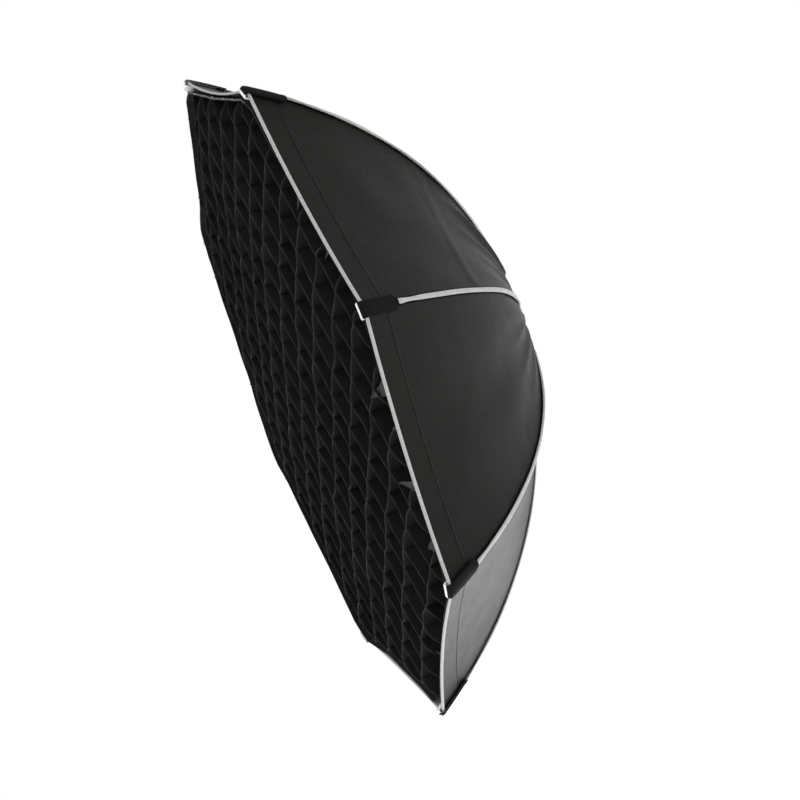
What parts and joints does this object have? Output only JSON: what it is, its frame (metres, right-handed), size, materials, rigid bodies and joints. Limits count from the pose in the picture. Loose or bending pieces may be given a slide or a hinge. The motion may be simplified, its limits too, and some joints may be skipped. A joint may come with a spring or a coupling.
{
  "type": "octabox",
  "caption": "Eight-sided folding fabric light box with a rotating bayonet mount ring, hinged ribs, white diffusers and a lift-off black fabric grid.",
  "frame": {"origin": "centre of the mount ring's rear seating face, where it meets the lamp", "axes": "+Y along the box's axis, out of the back towards the lamp; the light leaves towards -Y; +Z along the rib that points straight up; +X towards the third rib clockwise as seen from the front"},
  "size_m": [0.9624, 0.3223, 0.9624],
  "materials": {
    "shell_fabric": "black coated nylon with a fine weave and a satin sheen",
    "webbing": "black woven webbing and hook-and-loop band",
    "piping": "light grey woven piping",
    "lining": "silver reflective lining",
    "grid_fabric": "black matt strip fabric",
    "diffuser_fabric": "white translucent cloth",
    "cuff_elastic": "black elastic band",
    "spring_steel": "drawn spring steel",
    "holder_plastic": "glass-filled black nylon",
    "lever_plastic": "grey moulded nylon",
    "ring_aluminium": "satin turned aluminium",
    "ring_black": "black powder coat on cast aluminium"
  },
  "bodies": {
    "mount": {"insert_ring": "ring_aluminium", "retaining_ring": "spring_steel"},
    "hub": {"hub_ring": "ring_black", "hinge_pins": "spring_steel", "latch_pins": "spring_steel", "rear_collar": "cuff_elastic"},
    "rib_0": {"rib_holder_0": "holder_plastic", "rib_rod_0": "spring_steel", "corner_pocket_0": "webbing"},
    "rib_1": {"rib_holder_1": "holder_plastic", "rib_rod_1": "spring_steel", "corner_pocket_1": "webbing"},
    "rib_2": {"rib_holder_2": "holder_plastic", "rib_rod_2": "spring_steel", "corner_pocket_2": "webbing"},
    "rib_3": {"rib_holder_3": "holder_plastic", "rib_rod_3": "spring_steel", "corner_pocket_3": "webbing"},
    "rib_4": {"rib_holder_4": "holder_plastic", "rib_rod_4": "spring_steel", "corner_pocket_4": "webbing"},
    "rib_5": {"rib_holder_5": "holder_plastic", "rib_rod_5": "spring_steel", "corner_pocket_5": "webbing"},
    "rib_6": {"rib_holder_6": "holder_plastic", "rib_rod_6": "spring_steel", "corner_pocket_6": "webbing"},
    "rib_7": {"rib_holder_7": "holder_plastic", "rib_rod_7": "spring_steel", "corner_pocket_7": "webbing"},
    "gore_after_0": {"gore_after_rib_0": "shell_fabric"},
    "gore_before_0": {"gore_before_rib_0": "shell_fabric"},
    "gore_after_1": {"gore_after_rib_1": "shell_fabric"},
    "gore_before_1": {"gore_before_rib_1": "shell_fabric"},
    "gore_after_2": {"gore_after_rib_2": "shell_fabric"},
    "gore_before_2": {"gore_before_rib_2": "shell_fabric"},
    "gore_after_3": {"gore_after_rib_3": "shell_fabric"},
    "gore_before_3": {"gore_before_rib_3": "shell_fabric"},
    "gore_after_4": {"gore_after_rib_4": "shell_fabric"},
    "gore_before_4": {"gore_before_rib_4": "shell_fabric"},
    "gore_after_5": {"gore_after_rib_5": "shell_fabric"},
    "gore_before_5": {"gore_before_rib_5": "shell_fabric"},
    "gore_after_6": {"gore_after_rib_6": "shell_fabric"},
    "gore_before_6": {"gore_before_rib_6": "shell_fabric"},
    "gore_after_7": {"gore_after_rib_7": "shell_fabric"},
    "gore_before_7": {"gore_before_rib_7": "shell_fabric"},
    "front": {"front_diffuser": "diffuser_fabric", "inner_baffle": "diffuser_fabric", "baffle_straps": "cuff_elastic"},
    "grid": {"grid_border": "webbing", "grid_lattice": "grid_fabric"},
    "latch_0": {"latch_lever_0": "lever_plastic"},
    "latch_1": {"latch_lever_1": "lever_plastic"},
    "latch_2": {"latch_lever_2": "lever_plastic"},
    "latch_3": {"latch_lever_3": "lever_plastic"},
    "latch_4": {"latch_lever_4": "lever_plastic"},
    "latch_5": {"latch_lever_5": "lever_plastic"},
    "latch_6": {"latch_lever_6": "lever_plastic"},
    "latch_7": {"latch_lever_7": "lever_plastic"}
  },
  "joints": [
    {"name": "rotate", "type": "hinge", "parent": "mount", "child": "hub", "pos_m": [0, 0, 0], "axis": [0, 1, 0], "continuous": true},
    {"name": "fold_0", "type": "hinge", "parent": "hub", "child": "rib_0", "pos_m": [0, -0.018, 0.072], "axis": [1, 0, 0], "range_deg": [0, 52]},
    {"name": "fold_1", "type": "hinge", "parent": "hub", "child": "rib_1", "pos_m": [0.05091, -0.018, 0.05091], "axis": [0.7071, 0, -0.7071], "range_deg": [0, 52]},
    {"name": "fold_2", "type": "hinge", "parent": "hub", "child": "rib_2", "pos_m": [0.072, -0.018, 0], "axis": [0, 0, -1], "range_deg": [0, 52]},
    {"name": "fold_3", "type": "hinge", "parent": "hub", "child": "rib_3", "pos_m": [0.05091, -0.018, -0.05091], "axis": [-0.7071, 0, -0.7071], "range_deg": [0, 52]},
    {"name": "fold_4", "type": "hinge", "parent": "hub", "child": "rib_4", "pos_m": [0, -0.018, -0.072], "axis": [-1, 0, 0], "range_deg": [0, 52]},
    {"name": "fold_5", "type": "hinge", "parent": "hub", "child": "rib_5", "pos_m": [-0.05091, -0.018, -0.05091], "axis": [-0.7071, 0, 0.7071], "range_deg": [0, 52]},
    {"name": "fold_6", "type": "hinge", "parent": "hub", "child": "rib_6", "pos_m": [-0.072, -0.018, 0], "axis": [0, 0, 1], "range_deg": [0, 52]},
    {"name": "fold_7", "type": "hinge", "parent": "hub", "child": "rib_7", "pos_m": [-0.05091, -0.018, 0.05091], "axis": [0.7071, 0, 0.7071], "range_deg": [0, 52]},
    {"name": "pleat_after_0", "type": "hinge", "parent": "rib_0", "child": "gore_after_0", "pos_m": [0.01432, -0.018, 0.072], "axis": [-0.9136, -0.1782, -0.3654], "range_deg": [0, 27.39], "deforming": ["gore_after_rib_0"]},
    {"name": "pleat_before_0", "type": "hinge", "parent": "rib_0", "child": "gore_before_0", "pos_m": [-0.01432, -0.018, 0.072], "axis": [-0.9136, 0.1782, 0.3654], "range_deg": [0, 27.39], "deforming": ["gore_before_rib_0"]},
    {"name": "pleat_after_1", "type": "hinge", "parent": "rib_1", "child": "gore_after_1", "pos_m": [0.06104, -0.018, 0.04079], "axis": [-0.9044, -0.1782, 0.3877], "range_deg": [0, 27.39], "deforming": ["gore_after_rib_1"]},
    {"name": "pleat_before_1", "type": "hinge", "parent": "rib_1", "child": "gore_before_1", "pos_m": [0.04079, -0.018, 0.06104], "axis": [-0.3877, 0.1782, 0.9044], "range_deg": [0, 27.39], "deforming": ["gore_before_rib_1"]},
    {"name": "pleat_after_2", "type": "hinge", "parent": "rib_2", "child": "gore_after_2", "pos_m": [0.072, -0.018, -0.01432], "axis": [-0.3654, -0.1782, 0.9136], "range_deg": [0, 27.39], "deforming": ["gore_after_rib_2"]},
    {"name": "pleat_before_2", "type": "hinge", "parent": "rib_2", "child": "gore_before_2", "pos_m": [0.072, -0.018, 0.01432], "axis": [0.3654, 0.1782, 0.9136], "range_deg": [0, 27.39], "deforming": ["gore_before_rib_2"]},
    {"name": "pleat_after_3", "type": "hinge", "parent": "rib_3", "child": "gore_after_3", "pos_m": [0.04079, -0.018, -0.06104], "axis": [0.3877, -0.1782, 0.9044], "range_deg": [0, 27.39], "deforming": ["gore_after_rib_3"]},
    {"name": "pleat_before_3", "type": "hinge", "parent": "rib_3", "child": "gore_before_3", "pos_m": [0.06104, -0.018, -0.04079], "axis": [0.9044, 0.1782, 0.3877], "range_deg": [0, 27.39], "deforming": ["gore_before_rib_3"]},
    {"name": "pleat_after_4", "type": "hinge", "parent": "rib_4", "child": "gore_after_4", "pos_m": [-0.01432, -0.018, -0.072], "axis": [0.9136, -0.1782, 0.3654], "range_deg": [0, 27.39], "deforming": ["gore_after_rib_4"]},
    {"name": "pleat_before_4", "type": "hinge", "parent": "rib_4", "child": "gore_before_4", "pos_m": [0.01432, -0.018, -0.072], "axis": [0.9136, 0.1782, -0.3654], "range_deg": [0, 27.39], "deforming": ["gore_before_rib_4"]},
    {"name": "pleat_after_5", "type": "hinge", "parent": "rib_5", "child": "gore_after_5", "pos_m": [-0.06104, -0.018, -0.04079], "axis": [0.9044, -0.1782, -0.3877], "range_deg": [0, 27.39], "deforming": ["gore_after_rib_5"]},
    {"name": "pleat_before_5", "type": "hinge", "parent": "rib_5", "child": "gore_before_5", "pos_m": [-0.04079, -0.018, -0.06104], "axis": [0.3877, 0.1782, -0.9044], "range_deg": [0, 27.39], "deforming": ["gore_before_rib_5"]},
    {"name": "pleat_after_6", "type": "hinge", "parent": "rib_6", "child": "gore_after_6", "pos_m": [-0.072, -0.018, 0.01432], "axis": [0.3654, -0.1782, -0.9136], "range_deg": [0, 27.39], "deforming": ["gore_after_rib_6"]},
    {"name": "pleat_before_6", "type": "hinge", "parent": "rib_6", "child": "gore_before_6", "pos_m": [-0.072, -0.018, -0.01432], "axis": [-0.3654, 0.1782, -0.9136], "range_deg": [0, 27.39], "deforming": ["gore_before_rib_6"]},
    {"name": "pleat_after_7", "type": "hinge", "parent": "rib_7", "child": "gore_after_7", "pos_m": [-0.04079, -0.018, 0.06104], "axis": [-0.3877, -0.1782, -0.9044], "range_deg": [0, 27.39], "deforming": ["gore_after_rib_7"]},
    {"name": "pleat_before_7", "type": "hinge", "parent": "rib_7", "child": "gore_before_7", "pos_m": [-0.06104, -0.018, 0.04079], "axis": [-0.9044, 0.1782, -0.3877], "range_deg": [0, 27.39], "deforming": ["gore_before_rib_7"]},
    {"name": "front_lift", "type": "slide", "parent": "hub", "child": "front", "axis": [0, -1, 0], "range_m": [0, 0.46], "deforming": ["front_diffuser", "inner_baffle", "baffle_straps"]},
    {"name": "grid_lift", "type": "slide", "parent": "front", "child": "grid", "axis": [0, -1, 0], "range_m": [0, 0.25], "deforming": ["grid_border", "grid_lattice"]},
    {"name": "latch_press_0", "type": "hinge", "parent": "hub", "child": "latch_0", "pos_m": [0, -0.034, 0.06], "axis": [-1, 0, 0], "range_deg": [0, 7], "stiffness_Nm_per_rad": 0.08},
    {"name": "latch_press_1", "type": "hinge", "parent": "hub", "child": "latch_1", "pos_m": [0.04243, -0.034, 0.04243], "axis": [-0.7071, 0, 0.7071], "range_deg": [0, 7], "stiffness_Nm_per_rad": 0.08},
    {"name": "latch_press_2", "type": "hinge", "parent": "hub", "child": "latch_2", "pos_m": [0.06, -0.034, 0], "axis": [0, 0, 1], "range_deg": [0, 7], "stiffness_Nm_per_rad": 0.08},
    {"name": "latch_press_3", "type": "hinge", "parent": "hub", "child": "latch_3", "pos_m": [0.04243, -0.034, -0.04243], "axis": [0.7071, 0, 0.7071], "range_deg": [0, 7], "stiffness_Nm_per_rad": 0.08},
    {"name": "latch_press_4", "type": "hinge", "parent": "hub", "child": "latch_4", "pos_m": [0, -0.034, -0.06], "axis": [1, 0, 0], "range_deg": [0, 7], "stiffness_Nm_per_rad": 0.08},
    {"name": "latch_press_5", "type": "hinge", "parent": "hub", "child": "latch_5", "pos_m": [-0.04243, -0.034, -0.04243], "axis": [0.7071, 0, -0.7071], "range_deg": [0, 7], "stiffness_Nm_per_rad": 0.08},
    {"name": "latch_press_6", "type": "hinge", "parent": "hub", "child": "latch_6", "pos_m": [-0.06, -0.034, 0], "axis": [0, 0, -1], "range_deg": [0, 7], "stiffness_Nm_per_rad": 0.08},
    {"name": "latch_press_7", "type": "hinge", "parent": "hub", "child": "latch_7", "pos_m": [-0.04243, -0.034, 0.04243], "axis": [-0.7071, 0, -0.7071], "range_deg": [0, 7], "stiffness_Nm_per_rad": 0.08}
  ],
  "couplings": [
    {"joint": "fold_1", "follows": "fold_0", "ratio": 1},
    {"joint": "fold_2", "follows": "fold_0", "ratio": 1},
    {"joint": "fold_3", "follows": "fold_0", "ratio": 1},
    {"joint": "fold_4", "follows": "fold_0", "ratio": 1},
    {"joint": "fold_5", "follows": "fold_0", "ratio": 1},
    {"joint": "fold_6", "follows": "fold_0", "ratio": 1},
    {"joint": "fold_7", "follows": "fold_0", "ratio": 1},
    {"joint": "pleat_after_0", "follows": "fold_0", "ratio": 0.52571},
    {"joint": "pleat_before_0", "follows": "fold_0", "ratio": 0.52571},
    {"joint": "pleat_after_1", "follows": "fold_0", "ratio": 0.52571},
    {"joint": "pleat_before_1", "follows": "fold_0", "ratio": 0.52571},
    {"joint": "pleat_after_2", "follows": "fold_0", "ratio": 0.52571},
    {"joint": "pleat_before_2", "follows": "fold_0", "ratio": 0.52571},
    {"joint": "pleat_after_3", "follows": "fold_0", "ratio": 0.52571},
    {"joint": "pleat_before_3", "follows": "fold_0", "ratio": 0.52571},
    {"joint": "pleat_after_4", "follows": "fold_0", "ratio": 0.52571},
    {"joint": "pleat_before_4", "follows": "fold_0", "ratio": 0.52571},
    {"joint": "pleat_after_5", "follows": "fold_0", "ratio": 0.52571},
    {"joint": "pleat_before_5", "follows": "fold_0", "ratio": 0.52571},
    {"joint": "pleat_after_6", "follows": "fold_0", "ratio": 0.52571},
    {"joint": "pleat_before_6", "follows": "fold_0", "ratio": 0.52571},
    {"joint": "pleat_after_7", "follows": "fold_0", "ratio": 0.52571},
    {"joint": "pleat_before_7", "follows": "fold_0", "ratio": 0.52571},
    {"joint": "front_lift", "follows": "fold_0", "m_per_rad": 0.50575}
  ]
}
